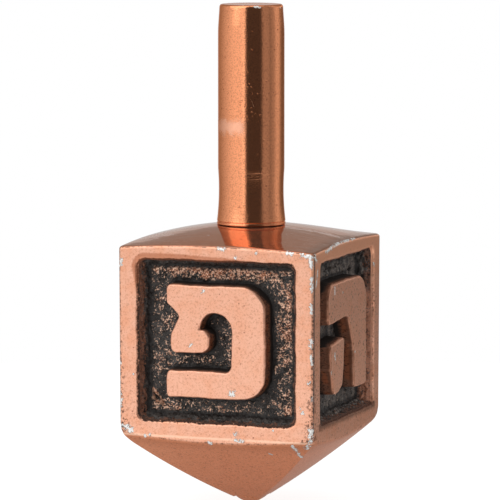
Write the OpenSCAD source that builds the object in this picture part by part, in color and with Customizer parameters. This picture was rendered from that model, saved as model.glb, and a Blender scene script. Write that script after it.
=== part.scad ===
// Cast metal dreidel: a four-sided spinning top with a turned stem pressed into it.
// The origin is the tip it spins on, +Z runs up along the spin axis, -Y is the front.

/* [Body] */
// Width of the body across its flat sides
body_w = 30.4; // [29:0.1:34]
// Height of the point, from the tip up to the lower corners
point_h = 11.9; // [10:0.1:14]
// Height of the flat sides, from the lower corners to the upper ones
side_h = 27.6; // [27:0.1:32]
// Rise of the shallow cone on top, from the upper corners to the seat of the stem
crown_rise = 2.5; // [1:0.1:4]
// Radius of the rounded vertical edges
edge_r = 0.5; // [0.2:0.1:1.5]

/* [Point] */
// Radius of the swell of each of the four lower faces
swell_r = 160; // [120:1:300]
// How far below the tip the four lower faces would meet
tip_cut = 0.5; // [0.3:0.05:1]
// Radius of the rounded tip
tip_r = 3.1; // [2:0.1:4]
// Angle of the turned cone round the tip, above level
tip_angle = 24.5; // [22:0.5:27]
// How far the narrow end of the cone is set into the rounded tip
tip_inset = 0.03; // [0.01:0.01:0.1]

/* [Recessed panels] */
// Width of the opening of a panel
panel_w = 24.5; // [23:0.1:26]
// Height of the opening of a panel
panel_h = 23.9; // [23:0.1:25]
// Height of the lower edge of a panel above the lower corners
panel_lift = 2.1; // [1.2:0.1:2.8]
// Depth of a panel, from the frame to its ground
panel_depth = 2.7; // [1.5:0.1:3.5]
// How far a panel's walls lean in from the opening to the ground
panel_draft = 0.9; // [0.3:0.05:1]
// Radius of the corners of the opening
panel_corner_r = 1.3; // [1.1:0.05:2]

/* [Raised letters] */
// Height of a letter
letter_h = 16.6; // [15:0.1:18]
// Thickness of the upper bars
bar_h = 4.1; // [3.5:0.1:4.8]
// Thickness of the lower bars
base_h = 4; // [3:0.1:4.5]
// Width of the upright strokes
stroke_w = 5.3; // [4:0.1:5.8]
// Radius of the wide bends
bend_r = 3.8; // [3:0.1:4.5]
// Radius of the narrow bends
turn_r = 2; // [1:0.1:2.8]
// Radius at the blunt ends of the bars
end_r = 0.6; // [0.2:0.1:1]
// Width of the letter pe on the front
pe_w = 15.4; // [14.5:0.1:17]
// Radius of the counter, the round space inside pe
counter_r = 2.45; // [2:0.1:2.8]
// Width of the space between the tongue of pe and its upright stroke
counter_w = 3.4; // [3:0.1:4.2]
// Height of the mouth of pe, between the tongue and the lower bar
mouth_h = 2.6; // [2:0.1:3]
// Radius of the tongue's upper corner
tongue_r = 1.6; // [1:0.1:2]
// Radius in the inner corner of the mouth
mouth_r = 1; // [0.4:0.1:1.2]
// Width of the letter he on the right side
he_w = 17.5; // [15:0.1:18]
// Width of the letter gimel on the back
gimel_w = 12.6; // [11.5:0.1:15]
// Width of the letter nun on the left side
nun_w = 11.6; // [10.5:0.1:14]
// How far the head of nun reaches to the left of its upright stroke
head_reach = 3.4; // [2:0.1:4.5]

/* [Stem] */
// Height of the stem above its seat
stem_h = 32.6; // [28:0.1:40]
// Radius of the straight barrel
barrel_r = 4.93; // [4.5:0.01:5]
// Radius of the foot that rests on the body
foot_r = 5.1; // [5.05:0.01:5.6]
// Depth of the waist below the barrel
waist_depth = 0.12; // [0.05:0.01:0.3]
// Radius of the hollow that forms the waist
waist_r = 39; // [30:1:60]
// Height of the narrowest place of the waist above the seat
waist_lift = 5.2; // [4:0.1:7]
// Height of the thin rim at the foot
rim_h = 0.3; // [0.2:0.05:0.5]
// Depth of the groove turned above the rim
groove_depth = 0.12; // [0.05:0.01:0.2]
// Height of the groove turned above the rim
groove_h = 0.15; // [0.1:0.01:0.3]
// Radius of the rounded top edge
top_r = 0.5; // [0.2:0.1:1]
// Radius of the tenon pressed into the body
tenon_r = 3; // [2:0.1:3.6]
// Length of the tenon below the seat
tenon_l = 9; // [6:0.1:14]
// Chamfer on the end of the tenon
tenon_chamfer = 0.5; // [0.2:0.1:1]

/* [Fit] */
// Radial clearance of the pressed joint
press_gap = 0.01; // [0:0.01:0.05]
// Space left below the end of the tenon
bore_spare = 0.6; // [0.3:0.1:1.5]

/* [Hidden] */
$fn = 96;

half_w = body_w / 2;
corner_rho = half_w * sqrt(2);
corner_z = point_h + side_h;
seat_z = corner_z + crown_rise;
panel_mid_z = point_h + panel_lift + panel_h / 2;

// One overrun serves every cut that has to pass through a surface
overrun = 1;

// Smoothness of the large swells
swell_fn = 360;

// The swell's centre lies where its sphere passes through two lower corners and the apex
apex_h = point_h + tip_cut;
lean = apex_h / half_w;
lean_offset = (2 * half_w * half_w + apex_h * apex_h) / (2 * half_w);
lean_root = sqrt(pow(lean * lean_offset, 2) - (lean * lean + 1) * (pow(lean_offset, 2) - pow(swell_r, 2)));
swell_z = (lean * lean_offset + lean_root) / (lean * lean + 1);
swell_y = lean * swell_z - lean_offset;

// Outlines inside a letter, as shares of its width and height from its lower left corner
pe_notch_shares = [[0, 0.83], [0.13, 0.73], [0.045, 0.56], [0.04, 0.38]];
he_inside_shares = [[0, 0.64], [0.53, 0.67], [0.67, 0.37], [0.68, 0]];
he_leg_shares = [[0.07, 0.455], [0.42, 0.495], [0.41, 0.26], [0.37, 0.07], [0.27, 0.015], [0.15, 0], [0.08, 0.24]];
gimel_foot_shares = [[0, 0], [0.3, 0], [0.62, 0.2], [0.62, 0.44], [0.5, 0.44], [0.02, 0.22]];
gimel_heel_shares = [[0.72, 0], [1, 0], [0.86, 0.34], [0.5, 0.34], [0.5, 0.2]];
gimel_head_share = 0.1;
gimel_back_share = 0.86;
gimel_knee_share = 0.34;

function scaled(shares, size) = [for (p = shares) [p[0] * size[0], p[1] * size[1]]];

// What a rounded corner takes off a square one, seen from the centre of its arc
module corner_cut(r, beyond = overrun) {
    difference() {
        square(r + beyond);
        circle(r = r);
    }
}

// Block with four corner radii: lower left, lower right, upper right, upper left
module block(size, radii) {
    difference() {
        square(size);
        translate([radii[0], radii[0]]) rotate(180) corner_cut(radii[0]);
        translate([size[0] - radii[1], radii[1]]) rotate(270) corner_cut(radii[1]);
        translate([size[0] - radii[2], size[1] - radii[2]]) corner_cut(radii[2]);
        translate([radii[3], size[1] - radii[3]]) rotate(90) corner_cut(radii[3]);
    }
}

module pe() {
    size = [pe_w, letter_h];
    inner_x = pe_w - stroke_w;
    counter_z = letter_h - bar_h - counter_r;
    notch = scaled(pe_notch_shares, size);
    difference() {
        block(size, [end_r, bend_r, bend_r, end_r]);
        translate([inner_x - counter_r, counter_z])
            intersection() {
                circle(r = counter_r);
                translate([-counter_r, 0]) square([2 * counter_r, counter_r]);
            }
        translate([inner_x - counter_w, base_h])
            block([counter_w, counter_z - base_h], [0, mouth_r, 0, 0]);
        translate([inner_x - counter_w - tongue_r, counter_z - tongue_r])
            corner_cut(tongue_r, 0);
        translate([-overrun, base_h])
            block([inner_x + overrun, mouth_h], [0, mouth_r, 0, 0]);
        polygon(concat([[-overrun, notch[0][1]]], notch, [[-overrun, notch[3][1]]]));
    }
}

module he() {
    size = [he_w, letter_h];
    inside = scaled(he_inside_shares, size);
    difference() {
        block(size, [end_r, end_r, bend_r, turn_r]);
        polygon(concat(
            [[-overrun, inside[0][1]]], inside,
            [[inside[3][0], -overrun], [-overrun, -overrun]]
        ));
    }
    polygon(scaled(he_leg_shares, size));
}

module gimel() {
    size = [gimel_w, letter_h];
    back_x = gimel_w * gimel_back_share;
    head_x = gimel_w * gimel_head_share;
    knee_z = letter_h * gimel_knee_share;
    translate([back_x - stroke_w, knee_z])
        block([stroke_w, letter_h - knee_z], [0, 0, turn_r, end_r]);
    translate([head_x, letter_h - bar_h])
        block([back_x - head_x, bar_h], [end_r, end_r, turn_r, end_r]);
    polygon(scaled(gimel_heel_shares, size));
    polygon(scaled(gimel_foot_shares, size));
}

module nun() {
    translate([nun_w - stroke_w, 0])
        block([stroke_w, letter_h], [0, bend_r, turn_r, 0]);
    translate([nun_w - stroke_w - head_reach, letter_h - bar_h])
        block([stroke_w + head_reach, bar_h], [end_r, end_r, turn_r, end_r]);
    block([nun_w - end_r, base_h], [end_r, base_h - end_r, 0, end_r]);
}

// Letter number k stands in the middle of its panel: 0 front, 1 right, 2 back, 3 left
module letter(k) {
    widths = [pe_w, he_w, gimel_w, nun_w];
    translate([-widths[k] / 2, -letter_h / 2]) {
        if (k == 0) pe();
        if (k == 1) he();
        if (k == 2) gimel();
        if (k == 3) nun();
    }
}

// Band with both side walls leaning in, open towards the front
module drafted_band(w, l) {
    lean_out = panel_draft * overrun / panel_depth;
    translate([0, 0, -l / 2])
        linear_extrude(height = l)
            polygon([
                [-w / 2 - lean_out, -half_w - overrun], [w / 2 + lean_out, -half_w - overrun],
                [w / 2 - panel_draft, panel_depth - half_w], [panel_draft - w / 2, panel_depth - half_w]
            ]);
}

// Rounded corner of a panel: a cone that narrows as the walls lean in
module drafted_corner() {
    lean_out = panel_draft * overrun / panel_depth;
    translate([0, -half_w - overrun, 0])
        rotate([-90, 0, 0])
            cylinder(h = panel_depth + overrun, r1 = panel_corner_r + lean_out, r2 = panel_corner_r - panel_draft);
}

module panel() {
    span_x = panel_w - 2 * panel_corner_r;
    span_z = panel_h - 2 * panel_corner_r;
    drafted_band(panel_w, span_z);
    rotate([0, 90, 0]) drafted_band(panel_h, span_x);
    for (sx = [-1, 1], sz = [-1, 1])
        translate([sx * span_x / 2, 0, sz * span_z / 2]) drafted_corner();
}

// Front panel with letter number k left standing in it
module lettered_panel(k) {
    difference() {
        panel();
        translate([0, panel_depth + overrun - half_w, 0])
            rotate([90, 0, 0])
                linear_extrude(height = panel_depth + overrun)
                    letter(k);
    }
}

// Square bar with rounded vertical edges, from the tip to the seat
module bar() {
    linear_extrude(height = seat_z)
        translate([-half_w, -half_w])
            block([body_w, body_w], [edge_r, edge_r, edge_r, edge_r]);
}

// Everything below the shallow cone on top
module crown() {
    translate([0, 0, -overrun])
        cylinder(h = corner_z + overrun, r = corner_rho + overrun);
    translate([0, 0, corner_z])
        cylinder(h = crown_rise, r1 = corner_rho, r2 = foot_r);
}

// Rounded tip and the turned cone that runs out of it
module tip() {
    inner_x = tip_r * sin(tip_angle) - tip_inset;
    inner_z = tip_r * (1 - cos(tip_angle));
    outer_x = corner_rho + overrun;
    translate([0, 0, tip_r]) sphere(r = tip_r);
    rotate_extrude()
        polygon([
            [0, inner_z], [inner_x, inner_z],
            [outer_x, inner_z + (outer_x - inner_x) * tan(tip_angle)],
            [outer_x, seat_z + overrun], [0, seat_z + overrun]
        ]);
}

// Ball whose surface is the gently swelled lower face at the front
module swell() {
    translate([0, swell_y, swell_z - tip_cut])
        sphere(r = swell_r, $fn = swell_fn);
}

// Turns what is drawn for the front to side number k
module for_side(k) {
    rotate([0, 0, 90 * k]) children();
}

module body() {
    color([0.72, 0.44, 0.31])
    difference() {
        intersection() {
            bar();
            crown();
            tip();
            for_side(0) swell();
            for_side(1) swell();
            for_side(2) swell();
            for_side(3) swell();
        }
        for (k = [0 : 3])
            for_side(k) translate([0, 0, panel_mid_z]) lettered_panel(k);
        translate([0, 0, seat_z - tenon_l - bore_spare])
            cylinder(h = tenon_l + bore_spare + overrun, r = tenon_r + press_gap);
    }
}

// Half outline of the stem above its seat
module stem_outline() {
    narrow_r = barrel_r - waist_depth;
    barrel_z = waist_lift + sqrt(pow(waist_r, 2) - pow(waist_r - waist_depth, 2));
    difference() {
        square([foot_r, barrel_z]);
        translate([narrow_r + waist_r, waist_lift]) circle(r = waist_r, $fn = swell_fn);
        translate([foot_r - groove_depth, rim_h]) square([groove_depth + overrun, groove_h]);
    }
    translate([0, barrel_z])
        block([barrel_r, stem_h - barrel_z], [0, 0, top_r, 0]);
}

module stem() {
    color([0.76, 0.42, 0.25]) {
        translate([0, 0, seat_z]) rotate_extrude() stem_outline();
        translate([0, 0, seat_z - tenon_l + tenon_chamfer])
            cylinder(h = tenon_l - tenon_chamfer, r = tenon_r);
        translate([0, 0, seat_z - tenon_l])
            cylinder(h = tenon_chamfer, r1 = tenon_r - tenon_chamfer, r2 = tenon_r);
    }
}

body();
stem();
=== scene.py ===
import math

import bpy
import numpy as np
from mathutils import Matrix, Vector


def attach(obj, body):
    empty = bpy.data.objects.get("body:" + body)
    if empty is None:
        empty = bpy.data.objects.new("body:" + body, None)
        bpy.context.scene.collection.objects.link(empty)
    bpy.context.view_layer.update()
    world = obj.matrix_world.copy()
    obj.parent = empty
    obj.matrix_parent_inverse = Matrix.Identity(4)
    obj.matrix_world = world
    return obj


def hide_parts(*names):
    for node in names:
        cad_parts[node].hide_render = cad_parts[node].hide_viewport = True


# A cast, copper plated dreidel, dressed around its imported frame.
# Shapes are written in millimetres and made in metres. -Y is the front, and the tip stands at the origin.
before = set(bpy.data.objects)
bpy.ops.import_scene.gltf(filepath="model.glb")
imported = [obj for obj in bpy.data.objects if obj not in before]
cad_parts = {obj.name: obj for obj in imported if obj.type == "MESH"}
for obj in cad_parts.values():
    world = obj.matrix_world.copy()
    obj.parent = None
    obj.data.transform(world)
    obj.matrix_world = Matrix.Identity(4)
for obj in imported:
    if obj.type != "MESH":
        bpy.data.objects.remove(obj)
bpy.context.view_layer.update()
mm = 0.001


def fresh(name, add, **settings):
    # A new mesh from one of Blender's own shapes
    bpy.ops.object.select_all(action="DESELECT")
    add(**settings)
    piece = bpy.context.object
    piece.name = piece.data.name = name
    return piece


def readSpots(piece):
    # The points in millimetres, once edit mode is left
    bpy.ops.object.mode_set(mode="OBJECT")
    flat = np.empty(len(piece.data.vertices) * 3)
    piece.data.vertices.foreach_get("co", flat)
    return flat.reshape(-1, 3) / mm


def writeSpots(piece, spots):
    piece.data.vertices.foreach_set("co", (spots * mm).ravel())
    piece.data.update()


def pick(piece, kind="VERT", test=None):
    # Selects everything, or what passes a test of its middle and its direction, and leaves edit mode on
    mesh, spots = piece.data, readSpots(piece)
    groups = {"VERT": mesh.vertices, "EDGE": mesh.edges, "FACE": mesh.polygons}
    for group in groups.values():
        group.foreach_set("select", np.zeros(len(group), bool))
    middles, ways = spots, spots
    if kind == "EDGE":
        ends = np.empty(len(mesh.edges) * 2, int)
        mesh.edges.foreach_get("vertices", ends)
        starts, stops = spots[ends[0::2]], spots[ends[1::2]]
        middles, ways = (starts + stops) / 2, stops - starts
    if kind == "FACE":
        middles, ways = np.empty(len(mesh.polygons) * 3), np.empty(len(mesh.polygons) * 3)
        mesh.polygons.foreach_get("center", middles)
        mesh.polygons.foreach_get("normal", ways)
        middles, ways = middles.reshape(-1, 3) / mm, ways.reshape(-1, 3)
    groups[kind].foreach_set("select", test(middles, ways) if test else np.ones(len(middles), bool))
    bpy.context.tool_settings.mesh_select_mode = [kind == k for k in groups]
    bpy.ops.object.mode_set(mode="EDIT")


def pullRings(rings):
    # Rings from the selected loop, which is the first of them: half sizes along x and y, and height
    for before, (halfX, halfY, height) in zip(rings, rings[1:]):
        bpy.ops.mesh.extrude_region_move(TRANSFORM_OT_translate={"value": (0, 0, (height - before[2]) * mm)})
        bpy.ops.transform.resize(value=(halfX / before[0], halfY / before[1], 1), center_override=(0, 0, 0))


def closeUp(piece):
    # Merges doubles and turns every face outwards
    pick(piece)
    bpy.ops.mesh.remove_doubles(threshold=0.0005 * mm)
    bpy.ops.mesh.normals_make_consistent(inside=False)
    bpy.ops.object.mode_set(mode="OBJECT")


def inOrder(piece):
    # Gives the faces and their corners the same order in every run, because a boolean's cuts depend on it
    mesh = piece.data
    spots = [tuple(vertex.co) for vertex in mesh.vertices]
    faces = []
    for face in mesh.polygons:
        corners = list(face.vertices)
        first = corners.index(min(corners))
        faces.append(corners[first:] + corners[:first])
    mesh.clear_geometry()
    mesh.from_pydata(spots, [], sorted(faces))


def smoothed(piece, degrees=32):
    bpy.ops.object.select_all(action="DESELECT")
    piece.select_set(True)
    bpy.context.view_layer.objects.active = piece
    bpy.ops.object.shade_smooth_by_angle(angle=math.radians(degrees))


def applied(piece, kind, **settings):
    # Adds a modifier and applies it at once
    modifier = piece.modifiers.new(kind.lower(), kind)
    for name, value in settings.items():
        setattr(modifier, name, value)
    bpy.context.view_layer.objects.active = piece
    bpy.ops.object.modifier_apply(modifier=modifier.name)


def ease(value, low, high):
    # 0 below low, 1 above high, smooth between
    share = np.clip((value - low) / (high - low), 0, 1)
    return share * share * (3 - 2 * share)


body = {
    "halfWidth": 15.2,
    "lowCorner": 11.9,  # height of the lower corners
    "highCorner": 39.54,  # height of the upper corners
    "uprightEdge": 0.5,  # radii of the worn edges
    "topEdge": 0.45,
    "lowEdge": 1.3,
    "lowSlope": 0.8158,  # rise of the lower faces where they leave the sides
    "edgeSteps": 6,
    "sideSteps": 32,
    "topTurn": 75,  # degrees that the upper edges round through
    "frameRings": (12.8, 13.3),  # heights of two rings below the panels
    "crownRings": 40,  # rings of the crown and the point, and how near to the axis they end
    "crownHole": 4,
    "pointRings": 56,
    "pointHole": 0.12,
    "crownRound": (-10, -5),  # distances from the axis between which the rings turn from square to round
    "pointRound": (-9, -2.5),
    "cornerWear": 0.4,  # depth, reach and aim of the wear of the lower corners
    "wearReach": 3.2,
    "wearAim": (0, 0, 20),
    "seat": 42.0,
    "seatGap": 0.01,
    "crownTop": 42.2,  # the pillow shaped top: height, fall and twist
    "crownFall": 0.0091,
    "crownTwist": 0.00003,
    "boreRadius": 3.01,
    "boreFloor": 32.4,
    "swellRadius": 160,
    "swellOut": 88.489,
    "swellUp": 132.803,
    "coneAngle": 24.5,
    "coneStart": (1.2556, 0.2791),
    "tipRadius": 3.1,
    "tipDrop": 0.02,
    "blend": (0.015, 0.11),  # softness of the blends, and what is added towards the tip
    "blendStart": (-16, -6),
}

panel = {
    "halfWidth": 12.25,
    "halfHeight": 11.95,
    "middle": 25.95,  # height of its middle
    "cornerRadius": 1.3,
    "depth": 2.7,
    "draft": 0.9,
    "lip": 0.5,  # depth at which the cast ground tucks under the frame
    "lipRadius": 0.36,
    "lipTurn": 78,  # degrees that the worn lip rounds through
    "mouth": ((1.3, 2), (0.45, 0.06)),  # growth and height of the cutter's rings outside the metal
    "undercut": 0.6,  # how far the recess widens behind the lip, and how deep it is cut
    "cut": 3.5,
    "cornerSteps": 8,
    "sideCuts": 24,
    "uneven": 0.1,
}


def toSide(side):
    # Local axes of a panel: u to the right, v up, w out of the metal, with w zero in the plane of the side
    turn = Matrix.Rotation(math.radians(90 * side), 4, "Z")
    out, up = -body["halfWidth"] * mm, panel["middle"] * mm
    flat = Matrix(((1, 0, 0, 0), (0, 0, -1, out), (0, 1, 0, up), (0, 0, 0, 1)))
    return turn @ flat


def crownHeight(x, y):
    squares = x * x + y * y
    return body["crownTop"] - body["crownFall"] * squares + body["crownTwist"] * x * x * y * y


def pointHeight(x, y):
    # Four swelled faces, a turned cone and a round tip, blended more softly towards the tip
    rho = np.hypot(x, y)
    faces = []
    for out, along in ((-y, x), (x, y), (y, x), (-x, y)):
        drop = body["swellRadius"] ** 2 - along ** 2 - (out + body["swellOut"]) ** 2
        faces.append(body["swellUp"] - np.sqrt(drop))
    coneX, coneZ = body["coneStart"]
    faces.append(coneZ + (rho - coneX) * math.tan(math.radians(body["coneAngle"])))
    tip = body["tipRadius"]
    faces.append(tip - np.sqrt(np.maximum(tip * tip - np.minimum(rho, tip) ** 2, 0)) - body["tipDrop"])
    faces[-1] = np.where(rho > 0.9 * tip, faces[-2] - 1, faces[-1])
    stack = np.array(faces)
    softness = body["blend"][0] + body["blend"][1] * ease(-rho, *body["blendStart"])
    highest = stack.max(axis=0)
    return highest + softness * np.log(np.exp((stack - highest) / softness).sum(axis=0))


def arcRings(radius, degrees, steps):
    # Insets and rises along an arc that starts upright
    for step in range(1, steps + 1):
        turn = math.radians(degrees) * step / steps
        yield radius * (1 - math.cos(turn)), radius * math.sin(turn)


def buildCasting():
    half, edge = body["halfWidth"], body["edgeSteps"]
    slope = math.atan(body["lowSlope"])
    arcStart = body["lowCorner"] + body["lowEdge"] * (1 / math.cos(slope) - math.tan(slope))
    piece = fresh("casting", bpy.ops.mesh.primitive_plane_add, size=2 * half * mm, location=(0, 0, arcStart * mm))
    bpy.ops.object.transform_apply()
    pick(piece)
    bpy.ops.mesh.bevel(offset=body["uprightEdge"] * mm, segments=edge, affect="VERTICES")
    bpy.ops.mesh.delete(type="ONLY_FACE")
    pick(piece, "EDGE", lambda middles, ways: np.linalg.norm(ways, axis=1) > half)
    bpy.ops.mesh.subdivide(number_cuts=body["sideSteps"] - 1)
    count = len(readSpots(piece))

    # Each ring: inset from the side, height, and how that height is meant
    topArc = body["highCorner"] - body["topEdge"]
    rings = [(0, arcStart, "as it is")]
    upward = [(0, height, "as it is") for height in body["frameRings"]]
    upward += [(0, topArc - 0.5, "crown"), (0, topArc, "crown")]
    upward += [(inset, topArc + rise, "crown") for inset, rise in arcRings(body["topEdge"], body["topTurn"], edge)]
    inset, level, meaning = upward[-1]
    insets = np.linspace(inset, half - body["crownHole"], body["crownRings"] + 1)
    upward += [(inset, level, "crown") for inset in insets[1:]]
    upward += [(half - body["boreRadius"], body[key], "as it is") for key in ("seat", "boreFloor")]
    downward = []
    for inset, drop in arcRings(body["lowEdge"], 90 - math.degrees(slope), edge):
        downward.append((inset, arcStart - drop - body["lowCorner"] + inset * math.tan(slope), "point"))
    insets = np.linspace(downward[-1][0], half - body["pointHole"], body["pointRings"] + 1)
    downward += [(inset, 0, "point") for inset in insets[1:]]
    for course, step in ((upward, 0.1), (downward, -0.1)):
        pick(piece, "VERT", lambda middles, ways: np.arange(len(middles)) < count)
        sizes = [half] + [half - inset for inset, height, meaning in course]
        pullRings([(size, size, step * i) for i, size in enumerate(sizes)])
        bpy.ops.mesh.edge_face_add()

    # The rings settle on the crown and the point
    rings += upward + downward
    spots = readSpots(piece)
    ring = np.arange(len(spots)) // count
    size = np.array([half - row[0] for row in rings])[ring]
    rho = np.hypot(spots[:, 0], spots[:, 1])
    kind = np.array([row[2] for row in rings])[ring]
    base = np.array([row[1] for row in rings])[ring]
    high, low = base > panel["middle"], kind == "point"
    rounding = np.where(low, ease(-size, *body["pointRound"]), 0)
    rounding = np.where(high, ease(-size, *body["crownRound"]), rounding)
    spots[:, :2] *= ((rho + rounding * (size - rho)) / rho)[:, None]
    x, y = spots[:, 0], spots[:, 1]
    spots[:, 2] = base
    crown = kind == "crown"
    lifted = base + crownHeight(x, y) - crownHeight(half, half)
    spots[crown, 2] = np.minimum(lifted, body["seat"] - body["seatGap"])[crown]
    spots[low, 2] = (base + pointHeight(x, y))[low]
    # The lower corners are worn rounder than the edges between them
    corner = np.array([half, half, body["lowCorner"]])
    away = np.linalg.norm(np.abs(spots) - corner, axis=1)
    worn = body["cornerWear"] * np.clip(1 - away / body["wearReach"], 0, 1) ** 2
    inward = np.array(body["wearAim"]) - spots
    spots += inward / np.linalg.norm(inward, axis=1)[:, None] * worn[:, None]
    writeSpots(piece, spots)
    closeUp(piece)

    # Every side becomes one face, and its panel is sunk into it
    for side in range(4):
        outwards = (toSide(side).to_3x3() @ Vector((0, 0, 1)))[:]
        pick(piece, "FACE", lambda middles, ways: (
            (ways @ outwards > 0.999) & (abs(middles[:, 2] - panel["middle"]) < 3)
        ))
        bpy.ops.mesh.dissolve_faces()
    bpy.ops.object.mode_set(mode="OBJECT")
    for side in range(4):
        sinkPanel(piece, side)
    closeUp(piece)
    smoothed(piece)
    applied(piece, "WEIGHTED_NORMAL", keep_sharp=True, weight=60)
    return piece


def panelGap(u, v, grow=0.0):
    # How far a point lies outside a panel's opening
    radius = panel["cornerRadius"] + grow
    outU = np.abs(u) - (panel["halfWidth"] + grow - radius)
    outV = np.abs(v) - (panel["halfHeight"] + grow - radius)
    outside = np.hypot(np.maximum(outU, 0), np.maximum(outV, 0))
    return outside + np.minimum(np.maximum(outU, outV), 0) - radius


def sinkPanel(piece, side):
    tool = fresh("panelTool", bpy.ops.mesh.primitive_plane_add, size=2 * mm)
    pick(tool)
    halfU, halfV = panel["halfWidth"], panel["halfHeight"]
    bpy.ops.transform.resize(value=(halfU, halfV, 1))
    bpy.ops.mesh.bevel(offset=panel["cornerRadius"] * mm, segments=panel["cornerSteps"], affect="VERTICES")
    bpy.ops.mesh.delete(type="ONLY_FACE")
    pick(tool, "EDGE", lambda middles, ways: np.linalg.norm(ways, axis=1) > halfU)
    bpy.ops.mesh.subdivide(number_cuts=panel["sideCuts"])
    pick(tool)
    rings = [(0, panel["mouth"][0][1]), *panel["mouth"]]
    bpy.ops.transform.translate(value=(0, 0, rings[0][1] * mm))
    # The opening is flared by the worn lip, then widens behind the lip to take the cast ground
    lip = panel["lipRadius"]
    for step in range(6):
        turn = math.radians(panel["lipTurn"] * (1 - step / 5))
        rings.append((lip - lip * math.cos(turn), lip * math.sin(turn) - lip))
    rings.append((-panel["draft"] * panel["lip"] / panel["depth"], -panel["lip"]))
    rings += [(panel["undercut"], -panel["lip"] - 0.01), (panel["undercut"], -panel["cut"])]
    pullRings([(halfU + growth, halfV + growth, height) for growth, height in rings])
    bpy.ops.mesh.edge_face_add()
    pick(tool, "VERT", lambda middles, ways: middles[:, 2] > rings[0][1] - 0.1)
    bpy.ops.mesh.edge_face_add()
    closeUp(tool)
    spots = readSpots(tool)
    spots[:, :2] += panel["uneven"] * uneven(spots[:, 0], spots[:, 1], side)
    writeSpots(tool, spots)
    tool.data.transform(toSide(side))
    for shape in (piece, tool):
        inOrder(shape)
    applied(piece, "BOOLEAN", object=tool, operation="DIFFERENCE", solver="EXACT")
    bpy.data.objects.remove(tool)


letters = {
    "height": 16.6,
    "root": 0.35,  # how far a letter reaches below the ground
    "draft": 0.2,
    "edge": 0.33,
    "uneven": 0.09,
    # Name, width, and outlines as corners with the radius each is rounded to, from the lower left of its box
    "outlines": [
        ("Pe", 15.4, [[
            (0, 0, 0.7), (15.4, 0, 3.8), (15.4, 16.6, 3.8), (0, 16.6, 0.8), (0, 13.78, 0.55), (2, 12.12, 0.7),
            (0.69, 9.3, 1.5), (0.62, 6.6, 0.9), (6.7, 6.6, 1.3), (6.7, 10.05, 1.2), (5.2, 10.05, 0.28),
            (5.2, 12.5, 2.17), (10.1, 12.5, 2.45), (10.1, 4, 1), (0, 4, 0.7),
        ]]),
        ("He", 17.5, [
            [(11.9, 0, 0.5), (17.5, 0, 0.8), (17.5, 16.6, 3.8), (0, 16.6, 2.8), (0, 10.62, 1.0),
             (9.28, 11.12, 1.2), (11.72, 6.14, 3)],
            [(2.62, 0, 1), (4.72, 0.25, 0.8), (6.48, 1.16, 0.8), (7.18, 4.32, 1.5), (7.35, 8.22, 0.5),
             (1.22, 7.55, 0.5), (1.4, 3.98, 2)],
        ]),
        ("Gimel", 12.6, [[
            (0, 0, 0.6), (3.78, 0, 0.6), (6.92, 2.58, 0.4), (9.07, 0, 0.6), (12.6, 0, 0.5), (10.84, 5.64, 1),
            (10.84, 16.6, 2), (1.26, 16.6, 0.8), (1.26, 12.5, 0.7), (5.54, 12.5, 0.5), (5.54, 6.84, 0.5),
            (0.25, 3.65, 0.5),
        ]]),
        ("Nun", 11.6, [[
            (0, 0, 0.7), (11.6, 0, 3.8), (11.6, 16.6, 2), (2.9, 16.6, 0.8), (2.9, 12.5, 0.7), (6.3, 12.5, 0.5),
            (6.3, 4, 0.8), (0, 4, 0.7),
        ]]),
    ],
}


# Slow waves along u, and along v: height, pitch over u and v, start, and shift from side to side
unevenWaves = (
    ((0.5, 0.31, 0.83, 0, 1.7), (0.3, -0.6, 2.1, 0, 3.4), (0.2, 1.1, 4.3, 0, 0)),
    ((0.5, 0.71, -0.27, 2.2, 1.7), (0.3, 1.9, 0.8, 0, 1.7), (0.2, 4.7, -1, 0, 0)),
)


def uneven(u, v, side):
    # How far a hand finished pattern is off, the same for everything on a side
    return np.stack([
        sum(high * np.sin(overU * u + overV * v + start + shift * side) for high, overU, overV, start, shift in waves)
        for waves in unevenWaves
    ], axis=1)


def roundedOutline(corners, grow):
    # The outline's points, moved outwards by grow, with an arc at every corner and the same count at every growth
    base = np.array([corner[:2] for corner in corners], float)
    runs = np.roll(base, -1, axis=0) - base
    lengths = np.linalg.norm(runs, axis=1)
    ahead = runs / lengths[:, None]
    behind = np.roll(ahead, 1, axis=0)
    outAhead = np.stack((ahead[:, 1], -ahead[:, 0]), axis=1)
    outBehind = np.stack((behind[:, 1], -behind[:, 0]), axis=1)
    spread = (outAhead + outBehind) / (1 + (outAhead * outBehind).sum(axis=1))[:, None]
    spots = base + spread * grow
    arcs = []
    for i, (spot, corner) in enumerate(zip(spots, corners)):
        bend = math.atan2(behind[i][0] * ahead[i][1] - behind[i][1] * ahead[i][0], behind[i] @ ahead[i])
        sign = 1 if bend > 0 else -1
        radius = max(corner[2] + grow * sign, 0.04)
        steps = int(abs(bend) * corner[2] / 0.22) + 4
        centre = spot - behind[i] * radius * math.tan(abs(bend) / 2) - outBehind[i] * radius * sign
        turns = bend * np.arange(steps + 1) / steps
        arm = outBehind[i] * sign * radius
        cosines, sines = np.cos(turns), np.sin(turns)
        arcs.append(centre + np.stack((arm[0] * cosines - arm[1] * sines, arm[0] * sines + arm[1] * cosines), axis=1))
    outline = []
    for arc, following, length in zip(arcs, arcs[1:] + arcs[:1], lengths):
        outline.append(arc)
        cuts = int(length / 0.9)
        shares = (np.arange(cuts) + 1)[:, None] / (cuts + 1)
        outline.append(arc[-1] + (following[0] - arc[-1]) * shares)
    return np.concatenate(outline)


def letterOutlines(side, grow):
    name, width, islands = letters["outlines"][side]
    shift = np.array((width / 2, letters["height"] / 2))
    outlines = [roundedOutline(corners, grow) - shift for corners in islands]
    return [outline + letters["uneven"] * uneven(*outline.T, side) for outline in outlines]


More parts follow.
